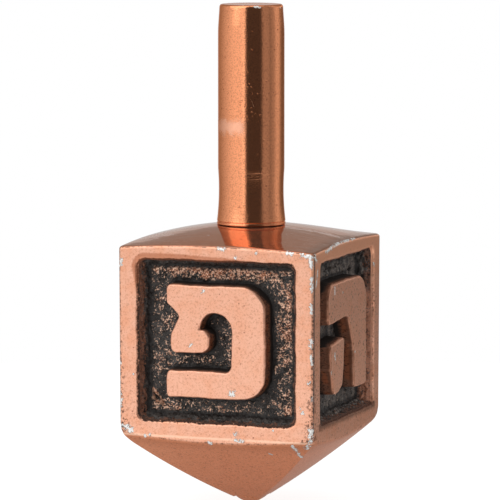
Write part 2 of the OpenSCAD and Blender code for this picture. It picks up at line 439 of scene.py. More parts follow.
def buildLetter(side):
    height, edge = panel["depth"] + letters["root"], letters["edge"]
    drawing = bpy.data.curves.new("letterDrawing", "CURVE")
    drawing.dimensions, drawing.fill_mode = "2D", "BOTH"
    for outline in letterOutlines(side, letters["draft"]):
        spline = drawing.splines.new("POLY")
        spline.points.add(len(outline) - 1)
        spline.points.foreach_set("co", np.array([(u * mm, v * mm, 0, 1) for u, v in outline]).ravel())
        spline.use_cyclic_u = True
    sketch = bpy.data.objects.new("letterDrawing", drawing)
    bpy.context.scene.collection.objects.link(sketch)
    bpy.ops.object.select_all(action="DESELECT")
    sketch.select_set(True)
    bpy.context.view_layer.objects.active = sketch
    bpy.ops.object.convert(target="MESH")
    piece = bpy.context.object
    piece.name = piece.data.name = "letter" + letters["outlines"][side][0]
    pick(piece, "FACE")
    bpy.ops.mesh.remove_doubles(threshold=0.001 * mm)
    bpy.ops.mesh.select_all(action="SELECT")
    bpy.ops.mesh.dissolve_limited(angle_limit=0.0001, use_dissolve_boundaries=False)
    # Rings up the drafted wall and over the worn edge, each a step higher until they are settled
    rings = [(letters["draft"], -height), (letters["draft"] * 0.1, -edge)]
    for turn in np.radians((18, 36, 54, 72, 90)):
        rings.append((-edge * (1 - math.cos(turn)), edge * (math.sin(turn) - 1)))
    pick(piece, "FACE")
    for ring in rings[1:]:
        bpy.ops.mesh.extrude_region_move(TRANSFORM_OT_translate={"value": (0, 0, mm)})
    spots = readSpots(piece)
    drawn = np.concatenate(letterOutlines(side, letters["draft"]))
    point = np.argmin(np.linalg.norm(spots[:, None, :2] - drawn, axis=2), axis=1)
    ring = np.round(spots[:, 2] - spots[:, 2].min()).astype(int)
    table = np.array([np.concatenate(letterOutlines(side, grow)) for grow, level in rings])
    spots[:, :2] = table[ring, point]
    spots[:, 2] = np.array([level for grow, level in rings])[ring]
    writeSpots(piece, spots)
    pick(piece, "FACE", lambda middles, ways: middles[:, 2] > -0.001)
    bpy.ops.mesh.dissolve_faces()
    for foot in letterOutlines(side, letters["draft"]):
        pick(piece, "EDGE", lambda middles, ways: (
            (middles[:, 2] < -0.99 * height) & (outlineGap(middles[:, 0], middles[:, 1], foot) < 0.05)
        ))
        bpy.ops.mesh.edge_face_add()
    closeUp(piece)
    piece.data.transform(toSide(side))
    smoothed(piece, 40)
    applied(piece, "WEIGHTED_NORMAL", keep_sharp=True, weight=60)
    return piece


ground = {
    "names": ("groundFront", "groundRight", "groundBack", "groundLeft"),
    "cell": 0.155,
    "foot": 0.3,  # radius where a wall meets the ground, and its rings: how far from the wall and above the ground
    "fillet": ((0.12, 0.06), (0.02, 0.17)),
    "wallRings": 15,
    "tuck": ((-0.25, 0.03), (-0.4, 0.15)),  # rings under the frame: inset from the opening, and depth below the lip
    "backing": 0.5,  # how far its back reaches below the ground
    "cornerRadius": 0.4,  # of its corners at the foot of the walls
    "swell": (1.3, 0.28),  # size and height of the casting's lumps, grains and specks
    "grain": (0.55, 0.34),
    "speck": (0.28, 0.2),
    # Where handling has rubbed the black off, with painted glints in the same places: middle, reach and strength, in
    # the panel's own axes
    "rubbedAndLit": (
        ((0, 10.6, 16, 1.7, 1.0), (3, 10.3, 6, 1.5, 0.6), (10.6, 3, 1.8, 9, 0.9), (10.4, -9, 2.2, 2.6, 0.75),
         (-1, -10.3, 5, 0.9, 0.5), (-10, 6, 1.6, 1.5, 0.6), (-8.4, 2.8, 1, 1.4, 0.5), (-9.5, -3.5, 1.8, 1.6, 0.5),
         (-8, -10, 3, 1, 0.7), (2, 1, 1.6, 2.6, 0.6), (-4, -3, 5, 0.8, 0.5)),
        (),
        ((0, 10.4, 12, 1.5, 0.8), (10.2, 0, 1.6, 7, 0.7), (-10, -4, 1.6, 5, 0.6), (0, -10.4, 9, 1.2, 0.7)),
        ((0, 10.4, 9, 1.6, 0.7), (-10.2, 3, 1.8, 6, 0.8), (9.8, -3, 1.8, 5, 0.6), (3, -10.2, 8, 1.4, 0.6)),
    ),
    "leastRubbed": (0, -0.7, 0, 0),
    "flawRubbed": 3.5,  # how much a raised flaw is rubbed, for its height
    "walls": (0.3, 1.0, 0.5, 0.5),  # how much copper shows on the walls of each panel
    "blackWall": (4.5, 6.5),  # height from which the far wall of the right panel stays black
    "ridges": (0, 0.3, 0.05, 0.03),  # height of each panel's cooling ridges, and what waves they are made of
    "ridgeWaves": ((0.5, 2.9, 0, 0), (0.3, 6.1, 0.2, 0), (0.35, 1.3, 0, 1)),
    # Flaws of the casting as strokes: their ends, reach and height
    "flaws": (
        (((-10.7, -7.65), (-9.3, -9.45), 0.2, 0.45), ((-10.5, -8.35), (-9.95, -9.1), 0.24, -0.6),
         ((-11.05, -7.9), (-10.85, -8.85), 0.17, 0.5), ((-10.85, -8.85), (-9.2, -9.7), 0.17, 0.55)),
        (((-6, 9.6), (5, 9.9), 0.3, -0.25), ((7.5, 9.2), (9.6, 8.2), 0.35, -0.3),
         ((6.5, -10.2), (9.2, -9.6), 0.3, -0.25)),
        (((6.5, 9.3), (9.2, 8.4), 0.3, -0.4), ((-9.8, -8.6), (-8.6, -9.6), 0.25, 0.3)),
        (((-9.4, 8.2), (-8.2, 9.4), 0.3, 0.3), ((8.4, -9.2), (9.6, -7.8), 0.3, -0.4)),
    ),
}


def outlineGap(u, v, outline):
    # Distance of points from a closed outline
    gap = np.full(len(u), 99.0)
    for start, stop in zip(outline, np.roll(outline, -1, axis=0)):
        run = stop - start
        length = run @ run
        if length < 1e-12:
            continue
        share = np.clip(((u - start[0]) * run[0] + (v - start[1]) * run[1]) / length, 0, 1)
        gap = np.minimum(gap, np.hypot(u - start[0] - share * run[0], v - start[1] - share * run[1]))
    return gap


def buildGround(side):
    depth, lip = panel["depth"], panel["lip"]
    lean = panel["draft"] / depth

    def inset(level):
        return lean * level + 0.005

    # Rings from the edge of the flat ground up the wall, under the frame and round to the back
    rings = [(inset(depth) + aside, depth - rise) for aside, rise in ground["fillet"]]
    levels = np.linspace(depth - ground["foot"], lip + ground["tuck"][0][1], ground["wallRings"])
    rings += [(inset(level), level) for level in levels]
    rings += [(inward, lip + below) for inward, below in ground["tuck"]]
    rings.append((ground["tuck"][-1][0], depth + ground["backing"]))
    halfU = panel["halfWidth"] - inset(depth) - ground["foot"]
    halfV = panel["halfHeight"] - inset(depth) - ground["foot"]
    piece = fresh(
        ground["names"][side], bpy.ops.mesh.primitive_grid_add, size=2 * mm,
        x_subdivisions=round(2 * halfU / ground["cell"]), y_subdivisions=round(2 * halfV / ground["cell"]),
    )
    pick(piece)
    bpy.ops.transform.resize(value=(halfU, halfV, 1))
    bpy.ops.transform.translate(value=(0, 0, -depth * mm))
    flatCount = len(readSpots(piece))
    pick(piece, "EDGE", lambda middles, ways: (
        ((np.abs(middles[:, 0]) > halfU - 0.01) & (np.abs(ways[:, 0]) < 0.01))
        | ((np.abs(middles[:, 1]) > halfV - 0.01) & (np.abs(ways[:, 1]) < 0.01))
    ))
    sizes = [(halfU, halfV, -depth)]
    sizes += [(panel["halfWidth"] - inward, panel["halfHeight"] - inward, -level) for inward, level in rings]
    pullRings(sizes)
    bpy.ops.mesh.edge_face_add()

    # Rounded corners: a square corner block is drawn in to a quarter disc
    spots = readSpots(piece)
    loop = (len(spots) - flatCount) // len(rings)
    ring = np.maximum((np.arange(len(spots)) - flatCount) // loop + 1, 0)
    reachU, reachV, levels = (np.array(sizes) * (1, 1, -1))[ring].T
    tight = ground["cornerRadius"]
    radius = tight + (panel["cornerRadius"] - tight) * np.clip(1 - levels / depth, 0, 1) + 0.1
    cornerU = np.abs(spots[:, 0]) - (reachU - radius)
    cornerV = np.abs(spots[:, 1]) - (reachV - radius)
    inCorner = (cornerU > 0) & (cornerV > 0)
    share = np.maximum(cornerU, cornerV) / np.maximum(np.hypot(cornerU, cornerV), 1e-9)
    for axis, corner in enumerate((cornerU, cornerV)):
        spots[inCorner, axis] -= (np.sign(spots[:, axis]) * corner * (1 - share))[inCorner]
    u, v = spots[:, 0].copy(), spots[:, 1].copy()
    spots[:, :2] += panel["uneven"] * uneven(u, v, side)
    writeSpots(piece, spots)

    # How near each point is to the foot of a wall or a letter, before the metal is roughened
    letterGap = np.min([outlineGap(u, v, outline) for outline in letterOutlines(side, letters["draft"])], axis=0)
    wallGap = np.maximum(-panelGap(u, v, -inset(depth)), 0)
    wall = ease(depth - levels, 0.05, 0.35)
    crease = np.minimum(np.where(wall > 0.5, depth - levels, wallGap), letterGap)
    visible = ring <= len(rings) - 3
    rough = np.where(visible, ease(levels, lip + 0.1, lip + 0.8), 0) * (0.25 + 0.75 * ease(crease, 0.0, 0.5))
    # Cooling ridges run up the grounds
    waves = sum(high * np.sin(overU * u + overV * v + start) for high, overU, overV, start in ground["ridgeWaves"])
    relief, flawed = ground["ridges"][side] * waves, np.zeros(len(u))
    for start, stop, reach, height in ground["flaws"][side]:
        share = np.exp(-(outlineGap(u, v, np.array((start, stop))) / reach) ** 2)
        relief += height * share
        flawed += height * share
    spots[:, 2] += relief * (1 - wall) * ease(crease, 0.1, 0.9) * (ring == 0)
    writeSpots(piece, spots)
    group = piece.vertex_groups.new(name="rough")
    for share in np.unique(np.round(rough, 2)):
        group.add(np.flatnonzero(np.round(rough, 2) == share).tolist(), float(share), "REPLACE")
    for name in ("swell", "grain", "speck"):
        size, height = ground[name]
        texture = bpy.data.textures.new(name, "CLOUDS")
        texture.noise_scale = size * mm
        applied(
            piece, "DISPLACE", texture=texture, strength=height * 2 * mm, vertex_group="rough",
            texture_coords="LOCAL", mid_level=0.5,
        )
    after = readSpots(piece)
    lift = np.where(wall > 0.5, 0, after[:, 2] + depth)
    rubbedAndLit = np.full(len(u), float(ground["leastRubbed"][side]))
    for middleU, middleV, reachU, reachV, strength in ground["rubbedAndLit"][side]:
        away = ((u - middleU) / reachU) ** 2 + ((v - middleV) / reachV) ** 2
        rubbedAndLit = np.maximum(rubbedAndLit, strength * np.exp(-0.7 * away))
    rubbedAndLit = rubbedAndLit + flawed * ground["flawRubbed"]
    # The upper and lower walls stay black as painted shade, and the top of the right panel's far wall stays black too
    level = np.maximum(ease(np.abs(v) - np.abs(u), -0.6, 0.6), ease(v, *ground["blackWall"]) * (side == 1))
    rubbedAndLit = np.where(wall > 0.5, ground["walls"][side] - 1.2 * level, rubbedAndLit)
    for name, values in (("lift", lift), ("crease", crease), ("wall", wall), ("rubbedAndLit", rubbedAndLit)):
        attribute = piece.data.attributes.new(name, "FLOAT", "POINT")
        attribute.data.foreach_set("value", values.astype(np.float32))
    closeUp(piece)
    piece.data.transform(toSide(side))
    smoothed(piece, 60)
    return piece


stem = {
    "facets": 160,
    "tenonRadius": 3,
    "tenonLength": 9,
    "tenonChamfer": 0.5,
    "footRadius": 5.1,
    # The rim and the groove above it: how far inside the radius of the foot, and the height above the seat
    "foot": ((0.07, 0), (0.015, 0.02), (0, 0.07), (0, 0.23), (0.02, 0.28), (0.1, 0.31), (0.12, 0.34), (0.12, 0.42),
             (0.04, 0.47)),
    "barrelRadius": 4.93,
    "waistDepth": 0.12,
    "waistCurve": 39,
    "waistLift": 5.2,
    "barrelStart": 8.26,
    "height": 32.6,
    "topEdge": 0.42,
    "taper": 0.24,  # the last millimetres draw in towards the top
    "taperStart": 28.2,
    "topFace": ((4, 0), (2.4, 0.03), (0.8, 0.05), (0.15, 0.05)),  # radius, and how far it lies below the rim
}


def buildStem():
    s = stem
    narrow = s["barrelRadius"] - s["waistDepth"]
    # Radius and height above the seat, from the end of the tenon to the top
    rings = [(s["tenonRadius"] - s["tenonChamfer"], -s["tenonLength"])]
    rings += [(s["tenonRadius"], s["tenonChamfer"] - s["tenonLength"]), (s["tenonRadius"], 0)]
    rings += [(s["footRadius"] - inside, height) for inside, height in s["foot"]]
    for height in np.concatenate((np.linspace(0.52, 2, 9), np.linspace(2.3, s["barrelStart"], 16))):
        curved = s["waistCurve"] - math.sqrt(s["waistCurve"] ** 2 - (height - s["waistLift"]) ** 2)
        rings.append((narrow + curved, height))
    for height in np.linspace(s["barrelStart"] + 0.4, s["height"] - s["topEdge"], 30):
        drawnIn = s["taper"] * float(ease(height, s["taperStart"], s["height"] + 0.6))
        rings.append((s["barrelRadius"] - drawnIn, height))
    for step in range(1, 8):
        turn = math.radians(90 * step / 7)
        inset, drop = s["topEdge"] * (1 - math.cos(turn)), s["topEdge"] * (1 - math.sin(turn))
        rings.append((rings[-step][0] - inset, s["height"] - drop))
    rings += [(radius, s["height"] - below) for radius, below in s["topFace"]]
    piece = fresh(
        "stemTurned", bpy.ops.mesh.primitive_circle_add, vertices=s["facets"], radius=rings[0][0] * mm,
        location=(0, 0, (body["seat"] + rings[0][1]) * mm),
    )
    bpy.ops.object.transform_apply()
    pick(piece)
    bpy.ops.mesh.edge_face_add()
    pick(piece)
    pullRings([(radius, radius, height) for radius, height in rings])
    closeUp(piece)
    smoothed(piece, 35)
    return piece


class Wire:
    # A node's output, wrapped so that shader maths is written as sums
    def __init__(self, finish, socket):
        self.finish, self.socket = finish, socket

    def __add__(self, other):
        return self.finish.sum("ADD", self, other)

    def __sub__(self, other):
        return self.finish.sum("SUBTRACT", self, other)

    def __rsub__(self, other):
        return self.finish.sum("SUBTRACT", other, self)

    def __mul__(self, other):
        return self.finish.sum("MULTIPLY", self, other)

    def __truediv__(self, other):
        return self.finish.sum("DIVIDE", self, other)

    __radd__, __rmul__ = __add__, __mul__

    def output(self, name):
        return Wire(self.finish, self.socket.node.outputs[name])


class Finish:
    # A material, or the world when its tree is given, and the nodes that shader maths is made of
    def __init__(self, name, tree=None):
        if tree is None:
            self.material = bpy.data.materials.new(name)
            self.material.use_nodes = True
            tree = self.material.node_tree
        self.tree = tree
        tree.nodes.clear()

    def node(self, kind, settings=None, inputs=None, output=0):
        made = self.tree.nodes.new("ShaderNode" + kind)
        for name, value in (settings or {}).items():
            setattr(made, name, value)
        for name, value in (inputs or {}).items():
            if isinstance(value, Wire):
                self.tree.links.new(value.socket, made.inputs[name])
            else:
                made.inputs[name].default_value = value
        return Wire(self, made.outputs[output])

    def sum(self, operation, first, second=0.0):
        return self.node("Math", {"operation": operation}, {0: first, 1: second})

    def vector(self, operation, first, second, socket=1):
        return self.node("VectorMath", {"operation": operation}, {0: first, socket: second})

    def high(self, first, second):
        return self.sum("MAXIMUM", first, second)

    def low(self, first, second):
        return self.sum("MINIMUM", first, second)

    def size(self, value):
        return self.sum("ABSOLUTE", value)

    def ramp(self, value, low, high):
        # 0 below low, 1 above high, smooth between
        if low > high:
            return 1 - self.ramp(value, high, low)
        return self.node(
            "MapRange", {"interpolation_type": "SMOOTHSTEP"}, {"Value": value, "From Min": low, "From Max": high}
        )

    def around(self, value, middle, outer, inner):
        # 1 within the inner distance of the middle, 0 beyond the outer
        return self.ramp(self.size(value - middle), outer, inner)

    def colour(self, share, first, second):
        return self.node("Mix", {"data_type": "RGBA"}, {0: share, 6: first, 7: second}, 2)

    def coated(self, colour, *coats):
        # A colour under its coats, each given as how much of it shows and its tone
        for share, name in coats:
            colour = self.colour(share, colour, tones[name])
        return colour

    def noise(self, place, scale, detail=2.0, roughness=0.5, stretch=None):
        if stretch:
            place = self.vector("MULTIPLY", place, stretch)
        return self.node("TexNoise", {}, {"Vector": place, "Scale": scale, "Detail": detail, "Roughness": roughness})

    def spots(self, place, scale, outer, inner, ragged=None):
        # A round spot in every cell of a random pattern, its edge torn by ragged
        distance = self.node("TexVoronoi", {}, {"Vector": place, "Scale": scale}).output("Distance")
        return self.ramp(distance - ragged if ragged else distance, outer, inner)

    def attribute(self, name):
        return self.node("Attribute", {"attribute_name": name}).output("Fac")

    def toStroke(self, place, start, end):
        # Distance from a short straight stroke
        run = Vector(end) - Vector(start)
        if run.length < 0.01:
            return self.vector("DISTANCE", place, start).output("Value")
        arm = self.vector("SUBTRACT", place, start)
        share = self.vector("DOT_PRODUCT", arm, run / run.length_squared).output("Value")
        foot = self.vector("SCALE", run, self.low(self.high(share, 0.0), 1.0), "Scale")
        return self.vector("DISTANCE", arm, foot).output("Value")

    def strokes(self, place, marks):
        # Distance from the nearest stroke as a share of its radius
        nearest = None
        for *points, radius in marks:
            reach = self.toStroke(place, points[:3], points[-3:]) / radius
            nearest = reach if nearest is None else self.low(nearest, reach)
        return nearest

    def metal(self, colour, rough, metallic, relief, height, tint=(1, 1, 1, 1)):
        # A metal surface from what varies on it, with the height of its relief in millimetres
        normal = self.node("Bump", {}, {"Height": relief, "Distance": height * mm, "Strength": 1.0})
        return self.finished(self.node("BsdfPrincipled", {}, {
            "Base Color": colour, "Roughness": rough, "Metallic": metallic, "Normal": normal, "Specular Tint": tint,
        }))

    def finished(self, shader):
        out = self.tree.nodes.new("ShaderNodeOutputMaterial")
        self.tree.links.new(shader.socket, out.inputs["Surface"])
        return self.material


def tone(red, green, blue):
    # A colour as a picture program names it, in Blender's linear light
    parts = [c / 255 for c in (red, green, blue)]
    return tuple(c / 12.92 if c <= 0.04045 else ((c + 0.055) / 1.055) ** 2.4 for c in parts) + (1.0,)


tones = {
    "copper": tone(235, 179, 152),
    "copperWarm": tone(230, 162, 128),
    "copperDeep": tone(176, 108, 76),
    "copperUnder": tone(240, 158, 118),
    "copperWall": tone(196, 134, 106),
    "patinaAndShade": tone(56, 40, 34),
    "brown": tone(128, 86, 66),
    "rust": tone(150, 78, 48),
    "worn": tone(74, 70, 68),
    "paleGlint": tone(255, 212, 184),
    "black": tone(36, 31, 29),
    "soot": tone(94, 88, 84),
    "crease": tone(26, 20, 18),
    "plating": tone(248, 247, 244),
    "edgeTint": tone(242, 232, 224),
    "paintedSheen": tone(255, 186, 148),
    "ridgeSheen": tone(136, 122, 112),
    "stemEdge": tone(236, 204, 184),
    "stem": tone(252, 166, 120),
    "stemHaze": tone(252, 196, 168),
}


def metalPlaces(finish):
    # Position in millimetres, its parts, and the parts of the direction that the surface faces
    texture = finish.node("TexCoord")
    place = finish.vector("SCALE", texture.output("Object"), 1 / mm, "Scale")
    parts = finish.node("SeparateXYZ", {}, {0: place})
    facing = finish.node("SeparateXYZ", {}, {0: texture.output("Normal")})
    return place, [parts.output(axis) for axis in "XYZ"], [facing.output(axis) for axis in "XYZ"]


# Marks are strokes or round spots: start and end, or middle, and radius. First the chips to the bright metal
bodyChips = [
    (-14.8, -15.2, 37.6, -14.8, -15.2, 36.9, 0.22), (0.5, -15.2, 39.75, 1.3, -15.2, 39.72, 0.2),
    (6.4, -15.2, 39.25, 0.2), (3, -15.2, 38.6, 3.1, -15.2, 38.4, 0.17),
    (11, -15.2, 39.5, 11.7, -15.2, 39.4, 0.2), (13.2, -15.2, 39.3, 14.2, -15.2, 39.1, 0.26),
    (14.6, -15.2, 39.2, 14.85, -15.2, 37.6, 0.26), (15.1, -14.6, 39, 15.2, -14.2, 38.4, 0.24),
    (14.85, -15.2, 35.9, 14.85, -15.2, 34, 0.16), (14.8, -15.2, 32, 14.75, -15.2, 31, 0.2),
    (14.7, -15.2, 27, 14.75, -15.2, 26, 0.24), (14.8, -15.2, 24.8, 14.85, -15.2, 23.4, 0.17),
    (14.4, -15.2, 20.7, 0.22), (15, -15.1, 18.2, 0.22), (13.6, -15.2, 16.3, 13.4, -15.2, 16.2, 0.16),
    (13.15, -15.2, 16.9, 0.14), (14.75, -15.2, 14, 14.6, -15.1, 11.9, 0.32),
    (14.6, -15, 11.8, 13.9, -14.4, 11, 0.3), (11.9, -14.9, 11.3, 12.4, -12.6, 9.4, 0.2),
    (7.7, -13.6, 9.85, 8.1, -13.3, 9.7, 0.15), (-14.85, -15.2, 22.3, 0.18), (-12.8, -15.2, 20.7, 0.13),
    (-14.9, -15.2, 18, -14.9, -15.2, 15.8, 0.17), (-14.4, -15.1, 12.9, -13.2, -15.2, 12.4, 0.3),
    (-11.1, -15.1, 11.7, 0.17), (-10.3, -15.2, 12, 0.19), (-1.1, -15.1, 11.2, -0.9, -15.1, 11.2, 0.22),
    (3.2, -15.2, 12.7, 0.23), (3.1, -15.1, 11.8, 4.2, -15.1, 11.6, 0.2), (8.9, -15.2, 13.5, 0.16),
    (15.2, -10, 39.3, 15.2, -7.4, 39.6, 0.2), (15.2, -6.6, 39.8, 15.1, -3.6, 40, 0.22),
    (15.1, -2.6, 40, 15.1, 3.4, 40.1, 0.18), (15.2, -13.6, 36.8, 15.2, -14.3, 34.6, 0.16),
    (-2.9, -10.4, 41.2, 0.16), (15.2, 12.4, 35, 0.2), (-15.2, 9, 39.6, -15.2, 6, 39.8, 0.25),
    (-15.1, 14.9, 30, -15.1, 14.9, 27.5, 0.2), (6, 15.2, 12.2, 3.5, 15.2, 12.1, 0.22),
    (14.9, 15, 21, 14.9, 15, 19, 0.2), (-9, 15.2, 39.5, -7.5, 15.2, 39.6, 0.22),
]
letterChips = [
    (-2.1, -15.2, 33.2, -1.8, -15.2, 33.5, 0.12), (-7.3, -15.2, 27.1, 0.11),
    (-4.1, -15.2, 25.2, -3.7, -15.2, 25.6, 0.12), (2.4, -15.2, 18.55, 2.75, -15.2, 18.7, 0.3),
    (15.2, -5.9, 33.6, 15.2, -5.9, 32.7, 0.14), (15.2, -2.4, 32.5, 0.12), (15.2, 0, 28.6, 0.14),
    (15.2, -5.9, 24, 15.2, -5.7, 23, 0.16), (15.2, -7.2, 21.4, 15.2, -7, 20.6, 0.14), (15.2, 3.4, 23, 0.12),
]
# Pale lines where the crown was wiped, which also carry a painted sheen
crownLines = [
    (-13.6, -7.3, 40.3, -11.2, -5.2, 40.9, 0.9), (-11.2, -5.2, 40.9, -8, -4.6, 41.5, 0.75),
    (-8, -4.6, 41.5, -5.4, -4.4, 41.8, 0.5), (6.6, -2, 41.8, 8.4, -1.1, 41.5, 0.5),
    (8.9, -0.9, 41.4, 10.6, -0.5, 41.2, 0.5), (11.2, -0.3, 41, 13.4, 0.2, 40.6, 0.6),
    (-12.4, -9.4, 40, -9.6, -8.8, 40.6, 0.7), (-12.9, -11.2, 39.5, -10.8, -10.8, 40.0, 0.5),
]


copper = {
    "grain": (3.1, 3.0, 0.8),  # scale, detail and roughness of the noises
    "blotch": (0.4, 3.0, 0.6),
    "grit": (2.2, 4.0, 0.65),
    "coarse": (1.5, 3.0, 0.6),
    "crownStart": (38.5, 39.1),  # heights between which the crown's and the lower faces' finish begins
    "underStart": (13.4, 12.6),
    "rightStart": (14.5, 14.8),  # how far out the painted shade and sheen of the right side begin
    "lowLine": 11.8,  # height of the painted highlight along the lower edge
    "turnedStart": (4.2, 2.6),
    "turnedPitch": 30.0,
    "roughness": 0.4,
    "crownGloss": 0.335,  # how much smoother the crown is
    "relief": 0.03,
}


def castCopper(name, isLetter):
    f, c = Finish(name), copper
    place, (x, y, z), (_, facingY, up) = metalPlaces(f)
    outX, outY = f.size(x), f.size(y)
    depth = body["halfWidth"] - f.high(outX, outY)
    crown = f.ramp(up, 0.35, 0.75) * f.ramp(z, *c["crownStart"])
    under = f.ramp(up, -0.2, -0.5) * f.ramp(z, *c["underStart"])
    upright = 1 - f.high(crown, under)
    grain, blotch, grit, coarse = (f.noise(place, *c[key]) for key in ("grain", "blotch", "grit", "coarse"))
    ragged = grit - 0.5

    # Satin copper with a fine grain, small rusty specks and pits; the lower faces are a deeper orange
    warm = f.ramp(blotch, 0.35, 0.72) * (0.45 if isLetter else 0.7)
    colour = f.coated(tones["copper"], (warm, "copperWarm"))
    if not isLetter:
        # Painted shade: a darker band just under the lower edge
        underTopShade = under * f.ramp(z + ragged, 9.2, 11.2)
        shades = (crown * 0.48, "copperDeep"), (under * 0.85, "copperUnder"), (underTopShade * 0.35, "copperDeep")
        colour = f.coated(colour, *shades)
    colour = f.coated(colour, (f.ramp(grain, 0.48, 0.66) * 0.42, "copperDeep"))
    specks = f.spots(place, 1.0, 0.13, 0.07) * f.ramp(coarse, 0.48, 0.54)
    tinySpecks = f.spots(place, 2.3, 0.19, 0.1) * f.ramp(coarse, 0.5, 0.44)
    specks = f.high(specks, tinySpecks * 0.6)
    hairs = f.around(f.noise(place, 0.7, 1.0, stretch=(1.0, 1.0, 1.7)), 0.5, 0.008, 0.002) * f.ramp(coarse, 0.5, 0.56)
    colour = f.coated(colour, (f.high(specks * 0.7, hairs * 0.35), "rust"))
    # The right side is pitted all over, the others in places
    pitted = f.high(under * 0.4, f.ramp(f.noise(place, 0.3, 2.0), 0.55, 0.65) * 0.25)
    pitted = f.high(f.ramp(x, 14.6, 15.1), pitted)
    pits = f.spots(place, 1.1, 0.24, 0.14, ragged * 0.4) * f.ramp(coarse, 0.42, 0.5)
    pits = f.high(pits, f.spots(place, 1.9, 0.26, 0.15, ragged * 0.5) * 0.8) * pitted
    colour = f.coated(colour, (pits * 0.62, "patinaAndShade"))
    if isLetter:
        # Walls: dark and pitted under the worn edge, with copper in places, and black at the foot from patina and
        # painted shade
        sunk = f.ramp(depth + ragged * 0.5, 0.2, 0.5)
        bare = f.ramp(f.noise(place, 0.45, 2.0), 0.46, 0.58) * f.ramp(f.size(depth - 1.0 + ragged), 0.75, 0.35)
        bare = bare * f.ramp(up, 0.5, 0.1)
        black = f.ramp(depth + ragged + f.ramp(up, 0.3, 0.7), 1.4, 2.2)
        nicks = f.around(f.noise(place, 1.1, 3.0, 0.6, (0.5, 0.5, 1.5)), 0.5, 0.034, 0.014) * sunk
        # Painted shade on the letter walls that face the front on the right side
        nearEdge = f.ramp(facingY, -0.2, -0.55) * f.ramp(x, 14.2, 14.6) * f.ramp(depth, 0.005, 0.03)
        colour = f.coated(
            colour, (sunk * 0.9, "brown"), (bare * 0.8, "copperDeep"),
            (nicks * 0.75, "patinaAndShade"), (nearEdge * 0.75, "brown"), (black, "black"),
        )
        rough = c["roughness"] + (grain - 0.5) * 0.3 + sunk * 0.2
        metallic = 1.0 - sunk * 0.5 - black * 0.4 + bare * 0.3
        satin = 1.0 + sunk
    else:
        # The lip of a panel darkens towards the ground with patina and painted shade, the upper and lower lips more
        # than the upright ones
        farLip = f.ramp(x, 14.0, 14.4) * f.ramp(y, 11.5, 11.9)  # worn back to copper on the right side
        inLip = f.ramp(depth, 0.02, 0.07) * upright * (1 - farLip * 0.8)
        sunk = f.ramp(depth + ragged * 1.8, 0.1, 0.22) * inLip
        level = f.ramp(f.size(up), 0.25, 0.55)
        dark = f.ramp(depth + ragged * 1.4 + level * 0.12, 0.22, 0.38) * inLip
        # Painted shade: the front's lip is shaded broad at its upper left, and the right side darkens below its
        # opening
        radius = panel["cornerRadius"]
        alongX = f.high(outX - (panel["halfWidth"] - radius), 0.0)
        alongZ = f.high(f.size(z - panel["middle"]) - (panel["halfHeight"] - radius), 0.0)
        fromOpening = f.sum("SQRT", alongX * alongX + alongZ * alongZ) - radius
        breadth = f.ramp(x, 9, -9) * f.ramp(z, 33, 37.5)
        broadLipShade = f.ramp(fromOpening - breadth * 0.6 + ragged * 0.4, 0.4, 0.1)
        broadLipShade = broadLipShade * f.ramp(breadth, 0.0, 0.3) * f.ramp(y, -14.6, -14.9)
        # The right side is painted darker towards its bottom as painted shade, and paler towards its top as a painted
        # sheen
        onRight = f.ramp(x, *c["rightStart"])
        lowLipShade = f.ramp(z + ragged * 0.8, 13.0, 13.8) * f.ramp(z, 14.6, 14.2) * onRight * f.ramp(outY, 13.2, 12.4)
        # A painted highlight runs along the lower edge of the frame, and the crown darkens towards its right edge
        paintedSheen = f.ramp(f.size(z - c["lowLine"] + ragged * 0.3), 0.26, 0.08) * (1 - f.ramp(outX, 14.4, 15.1))
        turned = f.sum("SINE", z * c["turnedPitch"] + grain * 3.0)
        turned = f.ramp(z, *c["turnedStart"]) * f.ramp(turned, 0.2, 0.9)
        # The near upright edge is worn to bare metal beside the chips, and its dark line is a painted reflection
        toUpright = (2 * body["halfWidth"] - outX) - outY
        nearEdge = f.ramp(toUpright + (coarse - 0.5) * 0.3, 0.6, 0.45) * f.ramp(x + y, -0.02, 0.1)
        nearEdge = nearEdge * f.ramp(x, 13.0, 14.5) * upright
        colour = f.coated(
            colour, (sunk * 0.85, "brown"), (dark * 0.9, "patinaAndShade"),
            (broadLipShade * 0.7, "copperDeep"), (lowLipShade * 0.8, "patinaAndShade"),
            (onRight * f.ramp(z, 16, 12.5) * upright * 0.3, "copperDeep"),
            (onRight * f.ramp(z, 30, 38) * upright * 0.75, "paintedSheen"),
            (paintedSheen * 0.6, "paleGlint"), (crown * f.ramp(x, 12.6, 14.8) * 0.5, "brown"),
            (turned * 0.3, "copperDeep"), (nearEdge * 0.8, "worn"),
        )
        rough = c["roughness"] + (grain - 0.5) * 0.3 * (1 - crown) - crown * c["crownGloss"]
        rough = rough - under * 0.08 + sunk * 0.25
